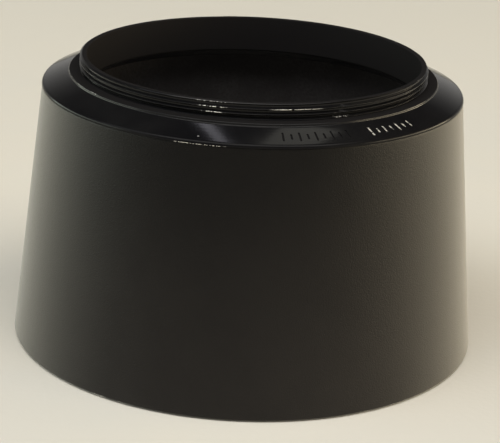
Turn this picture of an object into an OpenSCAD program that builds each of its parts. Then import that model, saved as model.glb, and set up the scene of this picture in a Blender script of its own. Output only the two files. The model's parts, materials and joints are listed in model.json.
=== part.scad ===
// Screw-in lens hood. A turned mount ring with a male filter thread carries a
// flared light shade, and a ring inside clamps the two together. The hood
// stands on its wide front rim with the thread upwards.
// Millimetres. +Z runs along the optical axis towards the camera, and the
// origin is on that axis in the plane of the front rim.

/* [Overall] */
// Height from the front rim to the lip of the thread
hood_height = 43.4; // [42.8:0.1:46]
// Height of the joint between shade and shoulder
joint_height = 38.68; // [36:0.01:38.9]

/* [Filter thread] */
// Diameter over the crests of the male thread
thread_d = 52; // [51.8:0.1:53]
// Distance from one crest to the next
thread_pitch = 0.75; // [0.7:0.05:0.75]
// Length of the threaded neck from the seat face to the lip
thread_length = 2.35; // [2.3:0.05:2.8]
// Number of grooves in the neck
thread_grooves = 3; // [2:1:3]
// Plain width left between the seat face and the first groove
seat_land = 0.08; // [0.05:0.01:0.15]
// Chamfer that leads the thread into the lens
lip_chamfer = 0.3; // [0.1:0.05:0.4]

/* [Mount ring] */
// Clear diameter that the light passes
bore_d = 49.9; // [48:0.1:50.2]
// Length of the plain bore, measured down from the lip
bore_length = 5.3; // [4.5:0.1:5.8]
// Break on the inner corner of the lip
bore_break = 0.12; // [0.05:0.01:0.2]
// Diameter of the flare under the bore, at the spigot's end
flare_d = 52.6; // [51:0.1:53.4]
// Diameter of the collar that stops against the lens
collar_d = 55.1; // [54.6:0.1:56]
// Height of the collar above the foot of its straight side
collar_h = 0.38; // [0.25:0.01:0.6]
// Bevel on the upper edge of the collar
collar_bevel = 0.12; // [0.05:0.01:0.2]
// Diameter of the sloping shoulder at its outer edge
shoulder_d = 63.04; // [61.4:0.02:66]
// Height of the shoulder's upright edge
shoulder_edge = 0.12; // [0.08:0.01:0.4]
// Radius between the shoulder's slope and its upright edge
shoulder_round = 0.5; // [0.3:0.05:0.8]

/* [Flared shade] */
// Diameter of the shade at the front rim
rim_d = 70.8; // [66:0.1:76]
// Diameter of the shade at the joint
shade_top_d = 62.9; // [62.4:0.1:63]
// Thickness of the spun wall
shade_wall = 1; // [0.8:0.05:1.1]
// Thickness of the turned-in flange
flange_t = 0.8; // [0.6:0.1:0.9]
// Bevel on the outer edge of the front rim
rim_bevel = 0.35; // [0.1:0.05:0.5]
// Break on the inner edge of the front rim
rim_break = 0.1; // [0.05:0.01:0.2]

/* [Retaining ring] */
// Diameter of the spigot that the retaining ring screws on
spigot_d = 55.4; // [54.6:0.1:56]
// Length of the spigot below the joint
spigot_length = 1.85; // [1.8:0.05:2.2]
// Outer diameter of the retaining ring
retainer_d = 60.2; // [59:0.1:60.4]
// Height of the retaining ring
retainer_h = 0.95; // [0.8:0.05:1]
// Width of its two spanner slots
slot_w = 2.2; // [1.5:0.1:3]
// Depth of its two spanner slots
slot_depth = 0.45; // [0.3:0.05:0.5]

/* [Lining] */
// Thickness of the black flocked lining
lining_t = 0.35; // [0.2:0.05:0.4]
// Bare wall left between the rim and the lining
lining_start = 1.2; // [0.8:0.1:3]
// Height of the lining's upper edge
lining_top = 36.6; // [33:0.1:36.7]

/* [Hidden] */

$fn = 180;

// Radial clearance of the joints on the spigot
spigot_gap = 0.03;
// Glue line between shade and lining
glue_gap = 0.05;
// How far a cutting shape runs past the surface it cuts
overcut = 1;
// Steps in the rounded edge of the shoulder
round_steps = 6;

thread_r = thread_d / 2;
bore_r = bore_d / 2;
flare_r = flare_d / 2;
collar_r = collar_d / 2;
shoulder_r = shoulder_d / 2;
rim_r = rim_d / 2;
spigot_r = spigot_d / 2;
retainer_r = retainer_d / 2;

// Heights along the optical axis
seat_z = hood_height - thread_length;
collar_foot_z = seat_z - collar_h;
bore_end_z = hood_height - bore_length;
edge_z = joint_height + shoulder_edge;
flange_z = joint_height - flange_t;
spigot_end_z = joint_height - spigot_length;

// Metric 60 degree form: crest flat P/8, root flat P/4, depth 0.5413 P
thread_depth = 0.5413 * thread_pitch;
root_flat = thread_pitch / 4;
groove_flank = (thread_pitch - thread_pitch / 8 - root_flat) / 2;
groove_width = root_flat + 2 * groove_flank;

// The shade is a cone, and its wall is measured square to the slope
shade_taper = (rim_d - shade_top_d) / 2 / joint_height;
wall_across = shade_wall * sqrt(1 + shade_taper * shade_taper);
function shade_out(z) = rim_r - shade_taper * z;
function shade_in(z) = shade_out(z) - wall_across;

// The shoulder's rounded edge is an arc about this centre. It ends where it
// is tangent to the slope that comes down from the foot of the collar.
round_centre = [shoulder_r - shoulder_round, edge_z];
to_foot = [collar_r, collar_foot_z] - round_centre;
round_end = atan2(to_foot[1], to_foot[0]) - acos(shoulder_round / norm(to_foot));
function shoulder_arc() = [
    for (i = [0 : round_steps])
        let (a = round_end * i / round_steps)
        round_centre + shoulder_round * [cos(a), sin(a)]
];

// Everything of the mount ring but its grooves, as half a section
module mount_section() {
    polygon(concat(
        [
            [bore_r, bore_end_z],
            [flare_r, spigot_end_z],
            [spigot_r, spigot_end_z],
            [spigot_r, joint_height],
            [shoulder_r, joint_height]
        ],
        shoulder_arc(),
        [
            [collar_r, collar_foot_z],
            [collar_r, seat_z - collar_bevel],
            [collar_r - collar_bevel, seat_z],
            [thread_r, seat_z],
            [thread_r, hood_height - lip_chamfer],
            [thread_r - lip_chamfer, hood_height],
            [bore_r + bore_break, hood_height],
            [bore_r, hood_height - bore_break]
        ]
    ));
}

// One V groove with its lower edge on the crests at height z
module groove_section(z) {
    flank_slope = groove_flank / thread_depth;
    polygon([
        [thread_r - thread_depth, z + groove_flank],
        [thread_r + overcut, z - overcut * flank_slope],
        [thread_r + overcut, z + groove_width + overcut * flank_slope],
        [thread_r - thread_depth, z + groove_flank + root_flat]
    ]);
}

// Turned aluminium ring, gloss black: thread, collar, shoulder and spigot
module mount_ring() {
    color("#17171b")
    rotate_extrude()
    difference() {
        mount_section();
        // The grooves stop at the seat face, so that the collar stays whole
        intersection() {
            for (i = [0 : thread_grooves - 1])
                groove_section(seat_z + seat_land + i * thread_pitch);
            translate([bore_r, seat_z])
                square([thread_r + overcut - bore_r, thread_length + overcut]);
        }
    }
}

// Spun aluminium shade, satin black, with a flange that sits under the shoulder
module hood_shell() {
    color("#2b2a27")
    rotate_extrude()
    polygon([
        [shade_in(rim_break) + rim_break, 0],
        [rim_r - rim_bevel, 0],
        [shade_out(rim_bevel), rim_bevel],
        [shade_out(joint_height), joint_height],
        [spigot_r + spigot_gap, joint_height],
        [spigot_r + spigot_gap, flange_z],
        [shade_in(flange_z), flange_z],
        [shade_in(rim_break), rim_break]
    ]);
}

// Ring on the spigot that clamps the flange, with two slots for a spanner
module retaining_ring() {
    foot_z = flange_z - retainer_h;
    color("#26262a")
    difference() {
        rotate_extrude()
        polygon([
            [spigot_r + spigot_gap, foot_z],
            [retainer_r, foot_z],
            [retainer_r, flange_z],
            [spigot_r + spigot_gap, flange_z]
        ]);
        translate([-retainer_r - overcut, -slot_w / 2, foot_z - overcut])
            cube([2 * (retainer_r + overcut), slot_w, slot_depth + overcut]);
    }
}

// Flocked sleeve glued inside the shade, which kills stray reflections
module flock_lining() {
    color("#0e0e0f")
    rotate_extrude()
    polygon([
        [shade_in(lining_start) - glue_gap - lining_t, lining_start],
        [shade_in(lining_start) - glue_gap, lining_start],
        [shade_in(lining_top) - glue_gap, lining_top],
        [shade_in(lining_top) - glue_gap - lining_t, lining_top]
    ]);
}

mount_ring();
hood_shell();
retaining_ring();
flock_lining();
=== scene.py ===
# Screw-in lens hood: turned mount ring, spun shade, clamp ring and flock, on a pale table
import json
import math

import bmesh
import bpy
from mathutils import Matrix, Vector


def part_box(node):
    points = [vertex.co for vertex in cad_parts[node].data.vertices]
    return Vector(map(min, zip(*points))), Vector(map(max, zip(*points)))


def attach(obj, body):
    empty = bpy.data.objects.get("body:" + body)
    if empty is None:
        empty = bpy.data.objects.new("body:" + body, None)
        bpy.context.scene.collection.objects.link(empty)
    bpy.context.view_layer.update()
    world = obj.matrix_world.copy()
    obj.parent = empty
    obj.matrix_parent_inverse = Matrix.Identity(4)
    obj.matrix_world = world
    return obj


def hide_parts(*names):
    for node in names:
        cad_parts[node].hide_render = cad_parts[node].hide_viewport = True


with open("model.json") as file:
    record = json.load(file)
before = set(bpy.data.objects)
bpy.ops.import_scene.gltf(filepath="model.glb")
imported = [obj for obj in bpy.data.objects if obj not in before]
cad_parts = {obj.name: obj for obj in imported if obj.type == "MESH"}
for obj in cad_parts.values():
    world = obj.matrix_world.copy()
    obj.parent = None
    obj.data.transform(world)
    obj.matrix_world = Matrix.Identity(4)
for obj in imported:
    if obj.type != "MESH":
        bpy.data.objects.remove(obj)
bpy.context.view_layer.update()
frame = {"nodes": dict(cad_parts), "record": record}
print("frame loaded:", sorted(frame["nodes"]))

mm = 0.001
sharpAngle = math.radians(40)  # edges steeper than this stay crisp
mounts = {m["name"]: m for m in frame["record"]["mounts"]}
threadRadius = mounts["filter_thread"]["dims"]["r_mm"]
seatHeight = mounts["seat_face"]["pos_m"][2] / mm
ringLow, ringHigh = [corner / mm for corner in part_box("mount_ring")]
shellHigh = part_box("hood_shell")[1] / mm
clampLow, clampHigh = [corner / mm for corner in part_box("retaining_ring")]
flockLow, flockHigh = [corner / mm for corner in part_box("flock_lining")]

# the cone of the shade, in mm
shade = {"rimRadius": 35.4, "topRadius": 31.45, "wall": 1.0}
shadeTaper = (shade["rimRadius"] - shade["topRadius"]) / shellHigh.z


def shadeOut(z):
    return shade["rimRadius"] - shadeTaper * z


def shadeIn(z):
    return shadeOut(z) - shade["wall"] * math.hypot(1, shadeTaper)


# lens in mm, distance and aim in metres, angles in degrees
camera = {"lens": 134.3, "distance": 0.2872, "elevation": 19.42, "roll": 2.69, "aim": (0.0005, 0, 0.01723)}


def placeCamera():
    data = bpy.data.cameras.new("camera")
    data.lens = camera["lens"]
    data.clip_start, data.clip_end = 0.01, 20
    data.dof.use_dof = False
    obj = bpy.data.objects.new("camera", data)
    bpy.context.scene.collection.objects.link(obj)
    e, roll = math.radians(camera["elevation"]), math.radians(camera["roll"])
    back = Vector((0, -math.cos(e), math.sin(e)))
    level = Vector((1, 0, 0))
    upright = back.cross(level)
    right = level * math.cos(roll) + upright * math.sin(roll)
    up = upright * math.cos(roll) - level * math.sin(roll)
    turn = Matrix((right, up, back)).transposed().to_4x4()
    obj.matrix_world = Matrix.Translation(Vector(camera["aim"]) + back * camera["distance"]) @ turn
    bpy.context.scene.camera = obj


placeCamera()
print("camera placed")


def drawSection(bm, corners):
    # corners are (radius, height, rounding) in mm, round the closed half section
    verts = [bm.verts.new((r * mm, 0, z * mm)) for r, z, soft in corners]
    for a, b in zip(verts, verts[1:] + verts[:1]):
        bm.edges.new((a, b))
    for vert, (r, z, soft) in zip(verts, corners):
        if soft:
            bmesh.ops.bevel(bm, geom=[vert], offset=soft * mm, offset_type="OFFSET", affect="VERTICES",
                            segments=3, profile=0.5, material=-1)
    return bm.edges[:]


def holdEnds(bm, edges, reach):
    # an extra ring close to each end of a long stretch keeps its shading straight
    for edge in edges:
        length = edge.calc_length()
        if length > 4 * reach * mm:
            start, end = edge.verts
            middle = bmesh.utils.edge_split(edge, start, reach * mm / length)[1]
            rest = [e for e in middle.link_edges if end in e.verts][0]
            bmesh.utils.edge_split(rest, end, reach * mm / rest.calc_length())


def spinRound(bm, steps):
    bmesh.ops.spin(bm, geom=bm.verts[:] + bm.edges[:], cent=(0, 0, 0), axis=(0, 0, 1), dvec=(0, 0, 0),
                   angle=2 * math.pi, steps=steps, use_merge=True, use_duplicate=False)
    bmesh.ops.remove_doubles(bm, verts=bm.verts, dist=1e-7)
    bmesh.ops.recalc_face_normals(bm, faces=bm.faces)


def turned(corners, steps=288, reach=0.12):
    bm = bmesh.new()
    holdEnds(bm, drawSection(bm, corners), reach)
    spinRound(bm, steps)
    return bm


def asObject(name, bm):
    mesh = bpy.data.meshes.new(name)
    bm.to_mesh(mesh)
    bm.free()
    made = bpy.data.objects.new(name, mesh)
    bpy.context.scene.collection.objects.link(made)
    return made


def cutAway(bm, cutter):
    # the first shape less the second
    body, tool = asObject("body", bm), asObject("tool", cutter)
    cut = body.modifiers.new("cut", "BOOLEAN")
    cut.object = tool
    cut.operation = "DIFFERENCE"
    cut.solver = "MANIFOLD"
    bpy.context.view_layer.update()
    left = body.evaluated_get(bpy.context.evaluated_depsgraph_get())
    result = bmesh.new()
    result.from_mesh(left.data)
    for used in (body, tool):
        bpy.data.objects.remove(used)
    return result


def finishPiece(name, bm, material, node):
    mesh = bpy.data.meshes.new(name)
    for face in bm.faces:
        face.smooth = True
    bm.to_mesh(mesh)
    bm.free()
    mesh.set_sharp_from_angle(angle=sharpAngle)
    mesh.materials.append(material)
    piece = bpy.data.objects.new(name, mesh)
    bpy.context.scene.collection.objects.link(piece)
    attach(piece, "root")
    if node:
        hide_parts(node)
    print("made", name, len(mesh.polygons), "faces")
    return piece


def newGroup(name, inputs, outputs):
    group = bpy.data.node_groups.new(name, "ShaderNodeTree")
    for label, kind, value in inputs:
        socket = group.interface.new_socket(label, in_out="INPUT", socket_type=kind)
        if value is not None:
            socket.default_value = value
    for label, kind in outputs:
        group.interface.new_socket(label, in_out="OUTPUT", socket_type=kind)
    return group, group.nodes.new("NodeGroupInput"), group.nodes.new("NodeGroupOutput")


def calc(tree, operation, a, b=None, clamp=False):
    node = tree.nodes.new("ShaderNodeMath")
    node.operation = operation
    node.use_clamp = clamp
    for socket, value in zip(node.inputs, (a, b)):
        if isinstance(value, (int, float)):
            socket.default_value = value
        elif value is not None:
            tree.links.new(value, socket)
    return node.outputs[0]


def remap(tree, value, low, high, toLow=0.0, toHigh=1.0, smooth=True):
    node = tree.nodes.new("ShaderNodeMapRange")
    node.interpolation_type = "SMOOTHSTEP" if smooth else "LINEAR"
    for socket, given in zip((0, 1, 2, 3, 4), (value, low, high, toLow, toHigh)):
        if isinstance(given, (int, float)):
            node.inputs[socket].default_value = given
        else:
            tree.links.new(given, node.inputs[socket])
    return node.outputs[0]


def noise(tree, vector, scale, detail=2.0, rough=0.5, dimensions="3D"):
    node = tree.nodes.new("ShaderNodeTexNoise")
    node.noise_dimensions = dimensions
    if dimensions == "1D":
        tree.links.new(vector, node.inputs["W"])
    else:
        tree.links.new(vector, node.inputs["Vector"])
    if isinstance(scale, (int, float)):
        node.inputs["Scale"].default_value = scale
    else:
        tree.links.new(scale, node.inputs["Scale"])
    node.inputs["Detail"].default_value = detail
    node.inputs["Roughness"].default_value = rough
    return node.outputs["Fac"]


def axisDistance(tree, position):
    # radius from the optical axis, and height, of a point
    split = tree.nodes.new("ShaderNodeSeparateXYZ")
    tree.links.new(position, split.inputs[0])
    square = calc(tree, "ADD", calc(tree, "MULTIPLY", split.outputs[0], split.outputs[0]),
                  calc(tree, "MULTIPLY", split.outputs[1], split.outputs[1]))
    return calc(tree, "SQRT", square), split.outputs[2]


def makeBareEdgeMask():
    # bare metal along one stretch of a turned edge, which is given by its radius and height; it draws
    # rubbed-through paint, and on the mount ring's lip and thread crests it also draws painted glints
    group, given, out = newGroup(
        "bareEdgeMask",
        [("Position", "NodeSocketVector", None), ("Radius", "NodeSocketFloat", 0.03),
         ("Height", "NodeSocketFloat", 0.03), ("Reach", "NodeSocketFloat", 0.0002),
         ("Centre", "NodeSocketVector", (0, 0, 0)), ("Stretch", "NodeSocketFloat", 0.01),
         ("Patch Scale", "NodeSocketFloat", 120.0), ("Amount", "NodeSocketFloat", 0.5)],
        [("Mask", "NodeSocketFloat")])
    radius, height = axisDistance(group, given.outputs["Position"])
    across = calc(group, "SUBTRACT", radius, given.outputs["Radius"])
    along = calc(group, "SUBTRACT", height, given.outputs["Height"])
    away = calc(group, "SQRT", calc(group, "ADD", calc(group, "MULTIPLY", across, across),
                                    calc(group, "MULTIPLY", along, along)))
    fine = noise(group, given.outputs["Position"], 5200.0, 3.0, 0.6)
    ragged = calc(group, "MULTIPLY", given.outputs["Reach"], remap(group, fine, 0.3, 0.7, 0.35, 1.0))
    near = calc(group, "SUBTRACT", 1.0, calc(group, "DIVIDE", away, ragged), clamp=True)
    edge = remap(group, near, 0.0, 0.5)
    patches = noise(group, given.outputs["Position"], given.outputs["Patch Scale"], 3.0, 0.55)
    least = calc(group, "SUBTRACT", 0.8, calc(group, "MULTIPLY", given.outputs["Amount"], 0.6))
    bareMask = remap(group, patches, least, calc(group, "ADD", least, 0.12))
    apart = group.nodes.new("ShaderNodeVectorMath")
    apart.operation = "DISTANCE"
    group.links.new(given.outputs["Position"], apart.inputs[0])
    group.links.new(given.outputs["Centre"], apart.inputs[1])
    halfway = calc(group, "MULTIPLY", given.outputs["Stretch"], 0.5)
    inside = remap(group, apart.outputs["Value"], halfway, given.outputs["Stretch"], 1.0, 0.0)
    rubbed = calc(group, "MULTIPLY", edge, bareMask)
    group.links.new(calc(group, "MULTIPLY", rubbed, inside), out.inputs["Mask"])
    return group


def makeFineGrain():
    # sprayed paint: a fine pebble with a slow drift in how dense it lies
    group, given, out = newGroup(
        "fineGrain",
        [("Position", "NodeSocketVector", None), ("Grain Scale", "NodeSocketFloat", 4200.0),
         ("Drift Scale", "NodeSocketFloat", 45.0)],
        [("Height", "NodeSocketFloat"), ("Drift", "NodeSocketFloat")])
    pebble = noise(group, given.outputs["Position"], given.outputs["Grain Scale"], 2.5, 0.55)
    drift = noise(group, given.outputs["Position"], given.outputs["Drift Scale"], 4.0, 0.6)
    group.links.new(remap(group, pebble, 0.25, 0.75, smooth=False), out.inputs["Height"])
    group.links.new(remap(group, drift, 0.3, 0.7), out.inputs["Drift"])
    return group


def makeTurningMarks():
    # hair-fine rings left by the lathe, the same all the way round
    group, given, out = newGroup(
        "turningMarks",
        [("Position", "NodeSocketVector", None), ("Ring Scale", "NodeSocketFloat", 9000.0)],
        [("Height", "NodeSocketFloat")])
    radius, height = axisDistance(group, given.outputs["Position"])
    along = calc(group, "ADD", radius, calc(group, "MULTIPLY", height, 0.83))
    rings = noise(group, along, given.outputs["Ring Scale"], 2.0, 0.5, "1D")
    group.links.new(remap(group, rings, 0.25, 0.75, smooth=False), out.inputs["Height"])
    return group


def makeDustSpecks():
    # a few pale specks, each in its own cell, and most cells empty
    group, given, out = newGroup(
        "dustSpecks",
        [("Position", "NodeSocketVector", None), ("Cell Scale", "NodeSocketFloat", 180.0),
         ("Speck Size", "NodeSocketFloat", 0.03), ("Share", "NodeSocketFloat", 0.05)],
        [("Mask", "NodeSocketFloat")])
    cells = group.nodes.new("ShaderNodeTexVoronoi")
    group.links.new(given.outputs["Position"], cells.inputs["Vector"])
    group.links.new(given.outputs["Cell Scale"], cells.inputs["Scale"])
    split = group.nodes.new("ShaderNodeSeparateColor")
    group.links.new(cells.outputs["Color"], split.inputs[0])
    chosen = calc(group, "LESS_THAN", split.outputs[0], given.outputs["Share"])
    share = remap(group, split.outputs[1], 0, 1, 0.4, 1.0)
    size = calc(group, "MULTIPLY", given.outputs["Speck Size"], share)
    spot = remap(group, cells.outputs["Distance"], calc(group, "MULTIPLY", size, 0.5), size, 1.0, 0.0)
    group.links.new(calc(group, "MULTIPLY", chosen, spot), out.inputs["Mask"])
    return group


bareEdgeMask, fineGrain = makeBareEdgeMask(), makeFineGrain()
turningMarks, dustSpecks = makeTurningMarks(), makeDustSpecks()
print("shader groups made")


def startFinish(name):
    material = bpy.data.materials.new(name)
    material.use_nodes = True
    tree = material.node_tree
    shader = tree.nodes["Principled BSDF"]
    position = tree.nodes.new("ShaderNodeTexCoord").outputs["Object"]
    return material, tree, shader, position


def useGroup(tree, group, position, **values):
    node = tree.nodes.new("ShaderNodeGroup")
    node.node_tree = group
    tree.links.new(position, node.inputs["Position"])
    for label, value in values.items():
        node.inputs[label.replace("_", " ")].default_value = value
    return node


def allBareStretches(tree, position, edges):
    # all the bare stretches of one piece together: rubbed-through paint, and on the mount ring also
    # painted glints
    bareMask = None
    for edge in edges:
        mask = useGroup(tree, bareEdgeMask, position, **edge).outputs["Mask"]
        bareMask = mask if bareMask is None else calc(tree, "MAXIMUM", bareMask, mask)
    return bareMask


def blendColour(tree, mask, a, b):
    node = tree.nodes.new("ShaderNodeMix")
    node.data_type = "RGBA"
    tree.links.new(mask, node.inputs[0])
    for socket, value in zip((6, 7), (a, b)):
        if isinstance(value, tuple):
            node.inputs[socket].default_value = (*value, 1)
        else:
            tree.links.new(value, node.inputs[socket])
    return node.outputs[2]


def addBump(tree, height, strength, distance, after=None):
    node = tree.nodes.new("ShaderNodeBump")
    node.inputs["Strength"].default_value = strength
    node.inputs["Distance"].default_value = distance
    tree.links.new(height, node.inputs["Height"])
    if after:
        tree.links.new(after, node.inputs["Normal"])
    return node.outputs["Normal"]


glossEnamel = {"paint": (0.0040, 0.0040, 0.0048), "thin": (0.0085, 0.0083, 0.0088),
               "bare": (0.80, 0.78, 0.74), "matt": (0.0130, 0.0123, 0.0126),
               "rough": (0.09, 0.15), "bareRough": 0.38, "mattRough": 0.6, "dullRough": 0.2,
               "shine": (0.5, 0.2), "edgeShine": 0.4, "edgeBand": (0.4, 0.2), "mattShine": 0.05,
               "slopeFades": ((-0.15, 0.1), (0.05, 0.2)),  # inside its outer edge, outside the collar
               "boreEdge": 25.15, "boreFade": 0.02, "lipBand": 0.03, "seatBand": 0.02,
               "grooveFloor": (-0.03, -0.005), "bump": ((0.10, 0.000004), (0.10, 0.000006))}


def onSlope(tree, radius):
    # only the sloping shoulder keeps its full gloss
    low, foot = shoulderSlope()[:2]
    lowFade, footFade = glossEnamel["slopeFades"]
    outer = remap(tree, radius, (low.x + lowFade[0]) * mm, (low.x + lowFade[1]) * mm, 1.0, 0.0)
    inner = remap(tree, radius, (foot.x + footFade[0]) * mm, (foot.x + footFade[1]) * mm)
    return calc(tree, "MULTIPLY", outer, inner)


def mattPlaces(tree, radius, height, slope):
    # the bore, the faces that meet the lens and the floors of the engraved strokes are matt
    edge = glossEnamel["boreEdge"] * mm
    bore = remap(tree, radius, edge, edge + glossEnamel["boreFade"] * mm, 1.0, 0.0)
    lip = calc(tree, "GREATER_THAN", height, (ringHigh.z - glossEnamel["lipBand"]) * mm)
    offSeat = calc(tree, "ABSOLUTE", calc(tree, "SUBTRACT", height, seatHeight * mm))
    seat = calc(tree, "LESS_THAN", offSeat, glossEnamel["seatBand"] * mm)
    low, foot, normal = shoulderSlope()[:3]
    outwards = calc(tree, "MULTIPLY", calc(tree, "SUBTRACT", radius, low.x * mm), normal.x)
    upwards = calc(tree, "MULTIPLY", calc(tree, "SUBTRACT", height, low.y * mm), normal.y)
    above = calc(tree, "ADD", outwards, upwards)
    deep, shallow = glossEnamel["grooveFloor"]
    sunk = calc(tree, "MULTIPLY", remap(tree, above, deep * mm, shallow * mm, 1.0, 0.0), slope)
    return calc(tree, "MAXIMUM", calc(tree, "MAXIMUM", bore, sunk), calc(tree, "MAXIMUM", lip, seat))


def makeGlossEnamel(bareEdges):
    material, tree, shader, position = startFinish("glossEnamel")
    grain = useGroup(tree, fineGrain, position, Grain_Scale=2600.0, Drift_Scale=70.0)
    rings = useGroup(tree, turningMarks, position, Ring_Scale=7000.0)
    specks = useGroup(tree, dustSpecks, position, Cell_Scale=420.0, Speck_Size=0.05, Share=0.02)
    bareMask = allBareStretches(tree, position, bareEdges)
    bareMask = calc(tree, "MAXIMUM", bareMask, calc(tree, "MULTIPLY", specks.outputs["Mask"], 0.7))
    radius, height = axisDistance(tree, position)
    slope = onSlope(tree, radius)
    matt = mattPlaces(tree, radius, height, slope)
    dull = calc(tree, "MAXIMUM", matt, calc(tree, "SUBTRACT", 1.0, slope))
    gloss = blendColour(tree, grain.outputs["Drift"], glossEnamel["paint"], glossEnamel["thin"])
    paint = blendColour(tree, matt, gloss, glossEnamel["matt"])
    tree.links.new(blendColour(tree, bareMask, paint, glossEnamel["bare"]), shader.inputs["Base Color"])
    tree.links.new(bareMask, shader.inputs["Metallic"])
    smooth = remap(tree, grain.outputs["Drift"], 0, 1, *glossEnamel["rough"], smooth=False)
    dulled = calc(tree, "MAXIMUM", smooth, calc(tree, "MULTIPLY", dull, glossEnamel["dullRough"]))
    painted = calc(tree, "MAXIMUM", dulled, calc(tree, "MULTIPLY", matt, glossEnamel["mattRough"]))
    gap = calc(tree, "SUBTRACT", glossEnamel["bareRough"], painted)
    rough = calc(tree, "ADD", painted, calc(tree, "MULTIPLY", gap, bareMask))
    tree.links.new(rough, shader.inputs["Roughness"])
    ringBump, grainBump = glossEnamel["bump"]
    grooved = addBump(tree, rings.outputs["Height"], *ringBump)
    tree.links.new(addBump(tree, grain.outputs["Height"], *grainBump, grooved), shader.inputs["Normal"])
    inner, outer = [(ringHigh.x - band) * mm for band in glossEnamel["edgeBand"]]
    dimmer = remap(tree, radius, inner, outer, 1.0, glossEnamel["edgeShine"])
    shine = calc(tree, "MULTIPLY", remap(tree, dull, 0, 1, *glossEnamel["shine"]), dimmer)
    muted = remap(tree, matt, 0, 1, 1.0, glossEnamel["mattShine"])
    tree.links.new(calc(tree, "MULTIPLY", shine, muted), shader.inputs["Specular IOR Level"])
    return material


# bloom is a painted sheen: the shade's paint turns pale at a glancing angle
satinPaint = {"dark": (0.0024, 0.0021, 0.0021), "dusty": (0.0046, 0.0041, 0.0036),
              "speck": (0.42, 0.41, 0.37), "bare": (0.55, 0.53, 0.50), "rough": (0.37, 0.43),
              "paintedSheen": (0.27, 0.26, 0.23), "paintedSheenFrom": 0.2,
              "rimReflection": (0.019, 0.017, 0.0155), "reflectionHeight": 37,
              "bump": (0.7, 0.00003), "shine": 0.15, "sheen": (0.3, 0.3)}  # sheen weight, roughness


def makeSatinPaint(bareEdges):
    material, tree, shader, position = startFinish("satinPaint")
    grain = useGroup(tree, fineGrain, position, Grain_Scale=5200.0, Drift_Scale=38.0)
    specks = useGroup(tree, dustSpecks, position, Cell_Scale=130.0, Speck_Size=0.028, Share=0.022)
    bareMask = allBareStretches(tree, position, bareEdges)
    clean = blendColour(tree, grain.outputs["Drift"], satinPaint["dark"], satinPaint["dusty"])
    # the shade is painted paler towards the rim, a painted reflection of the lit table near it
    radius, height = axisDistance(tree, position)
    climb = remap(tree, height, 0, satinPaint["reflectionHeight"] * mm, 1.0, 0.0, smooth=False)
    towardsRim = calc(tree, "MULTIPLY", climb, remap(tree, grain.outputs["Drift"], 0, 1, 0.75, 1.0))
    plain = blendColour(tree, towardsRim, clean, satinPaint["rimReflection"])
    # the base colour is painted pale at a glancing angle, a painted sheen
    facing = tree.nodes.new("ShaderNodeLayerWeight").outputs["Facing"]
    glance = remap(tree, facing, satinPaint["paintedSheenFrom"], 1.0, smooth=False)
    paintedSheen = calc(tree, "MULTIPLY", glance, glance)
    paint = blendColour(tree, paintedSheen, plain, satinPaint["paintedSheen"])
    dusty = blendColour(tree, specks.outputs["Mask"], paint, satinPaint["speck"])
    tree.links.new(blendColour(tree, bareMask, dusty, satinPaint["bare"]), shader.inputs["Base Color"])
    tree.links.new(bareMask, shader.inputs["Metallic"])
    uneven = calc(tree, "ADD", calc(tree, "MULTIPLY", grain.outputs["Drift"], 0.7),
                  calc(tree, "MULTIPLY", grain.outputs["Height"], 0.3))
    rough = remap(tree, uneven, 0, 1, *satinPaint["rough"], smooth=False)
    tree.links.new(rough, shader.inputs["Roughness"])
    tree.links.new(addBump(tree, grain.outputs["Height"], *satinPaint["bump"]), shader.inputs["Normal"])
    shader.inputs["Specular IOR Level"].default_value = satinPaint["shine"]
    shader.inputs["Sheen Weight"].default_value = satinPaint["sheen"][0]
    shader.inputs["Sheen Roughness"].default_value = satinPaint["sheen"][1]
    return material


anodised = {"dark": (0.010, 0.010, 0.011), "pale": (0.020, 0.020, 0.021), "rough": (0.38, 0.5),
            "bump": (0.4, 0.00001)}


def makeAnodised():
    material, tree, shader, position = startFinish("anodisedBlack")
    grain = useGroup(tree, fineGrain, position, Grain_Scale=3600.0, Drift_Scale=90.0)
    rings = useGroup(tree, turningMarks, position, Ring_Scale=6000.0)
    colour = blendColour(tree, grain.outputs["Drift"], anodised["dark"], anodised["pale"])
    rough = remap(tree, grain.outputs["Height"], 0, 1, *anodised["rough"])
    tree.links.new(colour, shader.inputs["Base Color"])
    tree.links.new(rough, shader.inputs["Roughness"])
    tree.links.new(addBump(tree, rings.outputs["Height"], *anodised["bump"]), shader.inputs["Normal"])
    return material


flock = {"dark": (0.037, 0.035, 0.036), "pale": (0.080, 0.076, 0.078), "rough": 0.95,
         "shine": 0.15, "bump": (0.8, 0.00006)}


def makeFlock():
    material, tree, shader, position = startFinish("flockBlack")
    nap = useGroup(tree, fineGrain, position, Grain_Scale=2400.0, Drift_Scale=60.0)
    mixed = calc(tree, "MULTIPLY", nap.outputs["Height"], nap.outputs["Drift"])
    tree.links.new(blendColour(tree, mixed, flock["dark"], flock["pale"]), shader.inputs["Base Color"])
    shader.inputs["Roughness"].default_value = flock["rough"]
    shader.inputs["Specular IOR Level"].default_value = flock["shine"]
    tree.links.new(addBump(tree, nap.outputs["Height"], *flock["bump"]), shader.inputs["Normal"])
    return material


fillPaint = {"clean": (0.56, 0.55, 0.50), "grubby": (0.03, 0.03, 0.028), "rough": (0.45, 0.7),
             "goneFrom": 0.4, "goneTo": 0.65, "bump": (0.5, 0.00002)}


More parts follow.
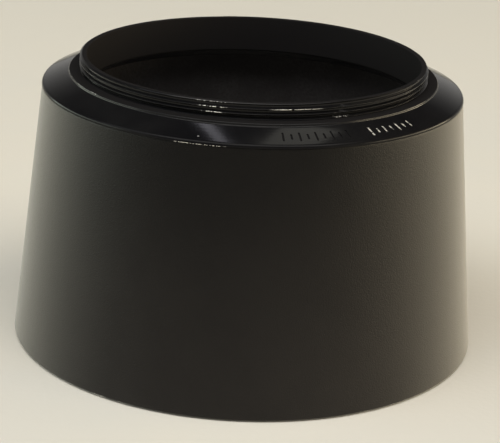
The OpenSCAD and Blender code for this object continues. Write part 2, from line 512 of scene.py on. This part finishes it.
def makeFillPaint():
    # paint in the engraved marks, partly gone
    material, tree, shader, position = startFinish("fillPaint")
    grain = useGroup(tree, fineGrain, position, Grain_Scale=3800.0, Drift_Scale=2200.0)
    gone = remap(tree, grain.outputs["Drift"], fillPaint["goneFrom"], fillPaint["goneTo"])
    colour = blendColour(tree, gone, fillPaint["clean"], fillPaint["grubby"])
    rough = remap(tree, grain.outputs["Height"], 0, 1, *fillPaint["rough"])
    tree.links.new(colour, shader.inputs["Base Color"])
    tree.links.new(rough, shader.inputs["Roughness"])
    tree.links.new(addBump(tree, grain.outputs["Height"], *fillPaint["bump"]), shader.inputs["Normal"])
    return material


# the mount ring: bore, lip, collar, shoulder, spigot, and a real helical thread
mountRing = {"boreRadius": 24.95, "boreEnd": 38.1, "flareRadius": 26.3, "spigotRadius": 27.7,
             "collarRadius": 27.55, "collarHeight": 0.38, "shoulderEdge": 0.12,
             "shoulderRound": 0.5, "edgeRings": 6, "crown": 0.04, "crownRings": 6,
             "pitch": 0.75, "threadForm": 0.5413, "crestAtFront": 41.85, "crestRound": 0.015,
             "ridgeRoot": 0.06, "ridgeEnds": (0.2, 0.35), "ridgeTrim": (0.03, 0.005), "lipChamfer": 0.3,
             "stepsPerTurn": 192,
             "ding": {"azimuth": 28.5, "height": 42.3, "wide": 0.6, "tall": 0.8, "depth": 0.25,
                      "steepness": 1.6, "drop": 0.3}}
rootRadius = threadRadius - mountRing["threadForm"] * mountRing["pitch"]
collarFoot = seatHeight - mountRing["collarHeight"]
edgeHeight = shellHigh.z + mountRing["shoulderEdge"]


def shoulderSlope():
    # both ends of the slope, from the rounded outer edge up to the collar's foot, and its outward normal
    m = mountRing
    centre = Vector((ringHigh.x - m["shoulderRound"], edgeHeight))
    foot = Vector((m["collarRadius"], collarFoot))
    toFoot = foot - centre
    turn = math.atan2(toFoot.y, toFoot.x) - math.acos(m["shoulderRound"] / toFoot.length)
    normal = Vector((math.cos(turn), math.sin(turn)))
    return centre + normal * m["shoulderRound"], foot, normal, turn


def slopeAt(t):
    # a point of the slope, which is very slightly crowned
    low, foot, normal, turn = shoulderSlope()
    return low.lerp(foot, t) + normal * mountRing["crown"] * 4 * t * (1 - t)


def ringSection():
    m = mountRing
    turn = shoulderSlope()[3]
    slope = []
    for i in range(m["edgeRings"] + 1):
        a = turn * i / m["edgeRings"]
        inward, upward = m["shoulderRound"] * (1 - math.cos(a)), m["shoulderRound"] * math.sin(a)
        slope.append((ringHigh.x - inward, edgeHeight + upward, 0))
    for i in range(1, m["crownRings"]):
        slope.append((*slopeAt(i / m["crownRings"]), 0))
    return [(m["boreRadius"], m["boreEnd"], 0.05), (m["flareRadius"], ringLow.z, 0.05),
            (m["spigotRadius"], ringLow.z, 0.1), (m["spigotRadius"], shellHigh.z, 0),
            (ringHigh.x, shellHigh.z, 0.04), *slope,
            (m["collarRadius"], collarFoot, 0.12), (m["collarRadius"], seatHeight, 0.14),
            (rootRadius, seatHeight, 0.05), (rootRadius, ringHigh.z, 0.04),
            (m["boreRadius"], ringHigh.z, 0.12)]


def addThread(bm):
    # one ridge wound round the neck, trimmed by the seat face, the lip and its chamfer
    m = mountRing
    low, high = seatHeight - m["ridgeEnds"][0], ringHigh.z + m["ridgeEnds"][1]
    turns = (high - low) / m["pitch"]
    wide, narrow = m["pitch"] * 3 / 8, m["pitch"] / 16  # half of the ridge's foot, half of its crest
    inner, soft = rootRadius - m["ridgeRoot"], m["crestRound"]
    ridge = bmesh.new()
    section = [(inner, -wide, 0), (rootRadius, -wide, 0), (threadRadius, -narrow, soft),
               (threadRadius, narrow, soft), (rootRadius, wide, 0), (inner, wide, 0)]
    drawSection(ridge, [(r, low + z, rounding) for r, z, rounding in section])
    steps = round(turns * m["stepsPerTurn"])
    bmesh.ops.contextual_create(ridge, geom=ridge.edges[:])
    start = ridge.faces[:]
    bmesh.ops.spin(ridge, geom=start, cent=(0, 0, 0), axis=(0, 0, 1),
                   dvec=(0, 0, m["pitch"] * turns / steps * mm), angle=2 * math.pi * turns,
                   steps=steps, use_merge=False, use_duplicate=False)
    bmesh.ops.recalc_face_normals(ridge, faces=ridge.faces)
    lead = (low - m["crestAtFront"]) / m["pitch"] * 2 * math.pi - math.pi / 2
    bmesh.ops.rotate(ridge, verts=ridge.verts, cent=(0, 0, 0), matrix=Matrix.Rotation(lead, 3, "Z"))
    lowest, highest = seatHeight - m["ridgeTrim"][0], ringHigh.z - m["ridgeTrim"][1]
    for vert in ridge.verts:
        z = min(max(vert.co.z / mm, lowest), highest)
        most = threadRadius - max(0, z - (ringHigh.z - m["lipChamfer"]))
        radius = math.hypot(vert.co.x, vert.co.y) / mm
        scale = min(1, most / radius)
        vert.co = (vert.co.x * scale, vert.co.y * scale, z * mm)
    mesh = bpy.data.meshes.new("ridge")
    ridge.to_mesh(mesh)
    ridge.free()
    bm.from_mesh(mesh)
    bpy.data.meshes.remove(mesh)


def addDing(bm):
    # one knock that has flattened the thread on the way in
    ding = mountRing["ding"]
    for vert in bm.verts:
        radius, z = math.hypot(vert.co.x, vert.co.y) / mm, vert.co.z / mm
        if radius < rootRadius + 0.03 or z < seatHeight:
            continue
        azimuth = math.degrees(math.atan2(vert.co.x, -vert.co.y))
        across = math.radians(azimuth - ding["azimuth"]) * radius / ding["wide"]
        along = (z - ding["height"]) / ding["tall"]
        near = 1 - across * across - along * along
        if near > 0:
            push = min(ding["depth"] * min(1, ding["steepness"] * near), radius - rootRadius - 0.01)
            vert.co.x *= 1 - push / radius
            vert.co.y *= 1 - push / radius
            vert.co.z -= ding["drop"] * push * mm


def bareStretch(radius, height, azimuth, stretch, reach, patches, amount):
    # azimuth in degrees from the front, positive towards +X
    a = math.radians(azimuth)
    centre = (radius * math.sin(a) * mm, -radius * math.cos(a) * mm, height * mm)
    return {"Radius": radius * mm, "Height": height * mm, "Reach": reach * mm, "Centre": centre,
            "Stretch": stretch * mm, "Patch_Scale": patches, "Amount": amount}


# rubbed-through edges of the mount ring, with painted glints among them
ringWearAndGlints = [
    bareStretch(ringHigh.x, shellHigh.z + 0.06, -13, 4.4, 0.075, 3600, 0.62),
    bareStretch(30.5, 39.55, -13.3, 0.16, 0.22, 3000, 1.0),
    bareStretch(ringHigh.x, shellHigh.z, 150, 14, 0.2, 300, 0.6),
    bareStretch(mountRing["collarRadius"], seatHeight, -70, 12, 0.12, 400, 0.45),
    bareStretch(threadRadius, seatHeight + 0.45, 28.5, 1.7, 0.42, 1500, 0.6),
    # the next four stretches are painted glints: bare metal put on the lip and the thread crests where the
    # lamps glint
    bareStretch(threadRadius - 0.15, ringHigh.z - 0.2, -11.5, 3.2, 0.14, 1500, 0.75),
    bareStretch(threadRadius, seatHeight + 1.55, -12, 2.4, 0.1, 2600, 0.6),
    bareStretch(threadRadius, seatHeight + 0.8, -12, 2, 0.09, 2600, 0.55),
    bareStretch(threadRadius, seatHeight + 1.55, 14, 4.2, 0.13, 1200, 0.75),
    bareStretch(threadRadius - 0.2, ringHigh.z, 95, 16, 0.2, 500, 0.5),
]

# engraved index strokes on the shoulder, one group left plain and one filled with paint
indexMarks = {"along": 0.42, "length": 1.9, "width": 0.28, "depth": 0.13, "cutAbove": 0.2,
              "fillBelow": 0.03, "fillOverlap": 0.02,
              "plain": {"centre": 17.6, "spacing": 2.25, "count": 9, "lengths": (1, 0.62)},
              "filled": {"centre": 41.0, "spacing": 2.35, "count": 7, "lengths": (0.95, 0.5, 0.75, 0.5)}}


def addStroke(bm, angle, length, width, low, high):
    # one bar with round ends, from low to high over the slope, at that angle from the front
    normal = shoulderSlope()[2]
    point = slopeAt(indexMarks["along"])
    verts = bmesh.ops.create_cube(bm, size=1)["verts"]
    bmesh.ops.scale(bm, verts=verts, vec=(width * mm, length * mm, (high - low) * mm))
    edges = {e for v in verts for e in v.link_edges}
    upright = [e for e in edges if abs((e.verts[0].co - e.verts[1].co).normalized().z) > 0.9]
    rounded = bmesh.ops.bevel(bm, geom=upright, offset=width * 0.45 * mm, offset_type="OFFSET",
                              affect="EDGES", segments=3, profile=0.5, material=-1)
    verts = list({v for f in rounded["faces"] for v in f.verts} | {v for v in verts if v.is_valid})
    lift = Matrix.Translation((0, 0, (low + high) / 2 * mm))
    tilt = Matrix.Rotation(math.atan2(normal.x, normal.y), 4, "X")
    place = Matrix.Translation((0, -point.x * mm, point.y * mm))
    turnTo = Matrix.Rotation(math.radians(angle), 4, "Z")
    bmesh.ops.transform(bm, verts=verts, matrix=turnTo @ place @ tilt @ lift)


def strokes(groups, low, high, wider=0.0):
    bm = bmesh.new()
    for group in groups:
        for i in range(group["count"]):
            angle = group["centre"] + (i - (group["count"] - 1) / 2) * group["spacing"]
            length = indexMarks["length"] * group["lengths"][i % len(group["lengths"])]
            addStroke(bm, angle, length + wider, indexMarks["width"] + wider, low, high)
    bmesh.ops.recalc_face_normals(bm, faces=bm.faces)
    return bm


enamelFinish = makeGlossEnamel(ringWearAndGlints)
markFloor, overlap = -indexMarks["depth"], indexMarks["fillOverlap"]
engraved = strokes([indexMarks["plain"], indexMarks["filled"]], markFloor, indexMarks["cutAbove"])
ringMesh = cutAway(turned(ringSection()), engraved)
addThread(ringMesh)
addDing(ringMesh)
finishPiece("mountRing", ringMesh, enamelFinish, "mount_ring")
fillMesh = strokes([indexMarks["filled"]], markFloor - overlap, -indexMarks["fillBelow"], overlap)
finishPiece("indexMarks", fillMesh, makeFillPaint(), None)


# the hood shell: a plain spun cone with a turned-in flange
hoodShell = {"flange": 0.8, "flangeRadius": 27.73, "rimBevel": 0.35}


def shellSection():
    m = hoodShell
    under = shellHigh.z - m["flange"]
    return [(shadeIn(0) + 0.1, 0, 0.05), (shadeOut(0) - m["rimBevel"], 0, 0.06),
            (shadeOut(m["rimBevel"]), m["rimBevel"], 0.08), (shadeOut(shellHigh.z), shellHigh.z, 0.08),
            (m["flangeRadius"], shellHigh.z, 0), (m["flangeRadius"], under, 0),
            (shadeIn(under), under, 0.2), (shadeIn(0.1), 0.1, 0.03)]


wornShellEdges = [
    bareStretch(shadeOut(0.2), 0.2, -35, 7, 0.28, 600, 0.5),
    bareStretch(shadeOut(0.2), 0.2, 40, 9, 0.28, 500, 0.45),
    bareStretch(shadeOut(0.2), 0.2, 150, 12, 0.28, 400, 0.5),
    bareStretch(shadeOut(0.2), 0.2, -120, 8, 0.28, 500, 0.5),
    bareStretch(shade["topRadius"], shellHigh.z, -155, 9, 0.16, 600, 0.5),
]
finishPiece("hoodShell", turned(shellSection(), reach=0.3), makeSatinPaint(wornShellEdges),
            "hood_shell")


# the flocked lining inside the shade
flockLining = {"thickness": 0.35, "glue": 0.05}


def flockSection():
    m = flockLining
    outer = [shadeIn(z) - m["glue"] for z in (flockLow.z, flockHigh.z)]
    inner = [r - m["thickness"] for r in outer]
    return [(inner[0], flockLow.z, 0.12), (outer[0], flockLow.z, 0), (outer[1], flockHigh.z, 0),
            (inner[1], flockHigh.z, 0.12)]


finishPiece("flockLining", turned(flockSection()), makeFlock(), "flock_lining")


# the retaining ring with its two spanner slots
retainingRing = {"inner": 27.73, "slotWidth": 2.2, "slotDepth": 0.45, "soft": 0.08}


def slotBar():
    m = retainingRing
    bar = bmesh.new()
    bmesh.ops.create_cube(bar, size=1)
    size = (4 * clampHigh.x * mm, m["slotWidth"] * mm, 2 * m["slotDepth"] * mm)
    bmesh.ops.scale(bar, verts=bar.verts, vec=size)
    bmesh.ops.translate(bar, verts=bar.verts, vec=(0, 0, clampLow.z * mm))
    return bar


def clampSection():
    m = retainingRing
    return [(m["inner"], clampLow.z, m["soft"]), (clampHigh.x, clampLow.z, m["soft"]),
            (clampHigh.x, clampHigh.z, m["soft"]), (m["inner"], clampHigh.z, m["soft"])]


finishPiece("retainingRing", cutAway(turned(clampSection(), steps=144), slotBar()), makeAnodised(),
            "retaining_ring")


table = {"size": 6.0, "warm": (0.70, 0.665, 0.59), "cool": (0.665, 0.65, 0.60), "far": (0.66, 0.64, 0.58),
         "farFrom": 0.04, "farTo": 0.3, "rough": 0.75}


def makeTable():
    material, tree, shader, position = startFinish("tableCloth")
    weave = useGroup(tree, fineGrain, position, Grain_Scale=900.0, Drift_Scale=9.0)
    near = blendColour(tree, weave.outputs["Drift"], table["warm"], table["cool"])
    split = tree.nodes.new("ShaderNodeSeparateXYZ")
    tree.links.new(position, split.inputs[0])
    # the cloth is painted darker further back, a painted fall-off of the light
    away = remap(tree, split.outputs[1], table["farFrom"], table["farTo"])
    tree.links.new(blendColour(tree, away, near, table["far"]), shader.inputs["Base Color"])
    shader.inputs["Roughness"].default_value = table["rough"]
    shader.inputs["Specular IOR Level"].default_value = 0.2
    tree.links.new(addBump(tree, weave.outputs["Height"], 0.15, 0.0001), shader.inputs["Normal"])
    bm = bmesh.new()
    bmesh.ops.create_grid(bm, x_segments=1, y_segments=1, size=table["size"] / 2)
    mesh = bpy.data.meshes.new("table")
    bm.to_mesh(mesh)
    bm.free()
    mesh.materials.append(material)
    top = bpy.data.objects.new("table", mesh)
    bpy.context.scene.collection.objects.link(top)


# azimuths in degrees from the front, positive towards +X, and distances and sizes in metres
lights = [
    {"name": "ceiling", "azimuth": 0, "elevation": 66, "away": 1.4, "size": (2.0, 1.1), "watts": 24.5,
     "colour": (1.0, 0.97, 0.92)},
    {"name": "warmWall", "azimuth": 95, "elevation": 8, "away": 1.2, "size": (1.4, 0.4), "watts": 17,
     "colour": (1.0, 0.85, 0.58)},
    {"name": "coolWall", "azimuth": -100, "elevation": 8, "away": 1.2, "size": (1.4, 0.4), "watts": 7.5,
     "colour": (0.9, 1.0, 0.85)},
    {"name": "sideFill", "azimuth": -75, "elevation": 40, "away": 1.4, "size": (1.0, 0.8), "watts": 3.0,
     "colour": (0.95, 0.97, 1.0)},
    {"name": "windowStrip", "azimuth": 191.3, "elevation": 61, "away": 1.2, "size": (0.04, 0.4),
     "watts": 0.075, "colour": (0.93, 0.91, 1.0)},
    {"name": "lampStrip", "azimuth": 165.5, "elevation": 61, "away": 1.2, "size": (0.18, 0.4),
     "watts": 0.13, "colour": (1.0, 0.97, 0.86)},
]
# glow is what the room gives off near the horizon, and it fades to the strength overhead
sky = {"colour": (1.0, 0.975, 0.93), "strength": 0.01, "glow": 0.42, "fade": (0.0, 0.5), "seen": 0.66}


def placeLights():
    for one in lights:
        data = bpy.data.lights.new(one["name"], "AREA")
        data.shape = "RECTANGLE"
        data.size, data.size_y = one["size"]
        data.energy = one["watts"]
        data.color = one["colour"]
        lamp = bpy.data.objects.new(one["name"], data)
        bpy.context.scene.collection.objects.link(lamp)
        a, e = math.radians(one["azimuth"]), math.radians(one["elevation"])
        direction = Vector((math.sin(a) * math.cos(e), -math.cos(a) * math.cos(e), math.sin(e)))
        lamp.visible_camera = False
        lamp.location = direction * one["away"] + Vector((0, 0, 0.03))
        lamp.rotation_euler = direction.to_track_quat("Z", "Y").to_euler()
    world = bpy.data.worlds.new("studio")
    world.use_nodes = True
    tree = world.node_tree
    backdrop = tree.nodes["Background"]
    backdrop.inputs["Color"].default_value = (*sky["colour"], 1)
    split = tree.nodes.new("ShaderNodeSeparateXYZ")
    tree.links.new(tree.nodes.new("ShaderNodeTexCoord").outputs["Generated"], split.inputs[0])
    glow = remap(tree, split.outputs[2], *sky["fade"], sky["glow"], sky["strength"])
    seen = tree.nodes.new("ShaderNodeLightPath").outputs["Is Camera Ray"]
    tree.links.new(remap(tree, seen, 0, 1, glow, sky["seen"], smooth=False), backdrop.inputs["Strength"])
    bpy.context.scene.world = world
    bpy.context.scene.view_settings.view_transform = "Standard"


makeTable()
placeLights()
print("table and lights placed")
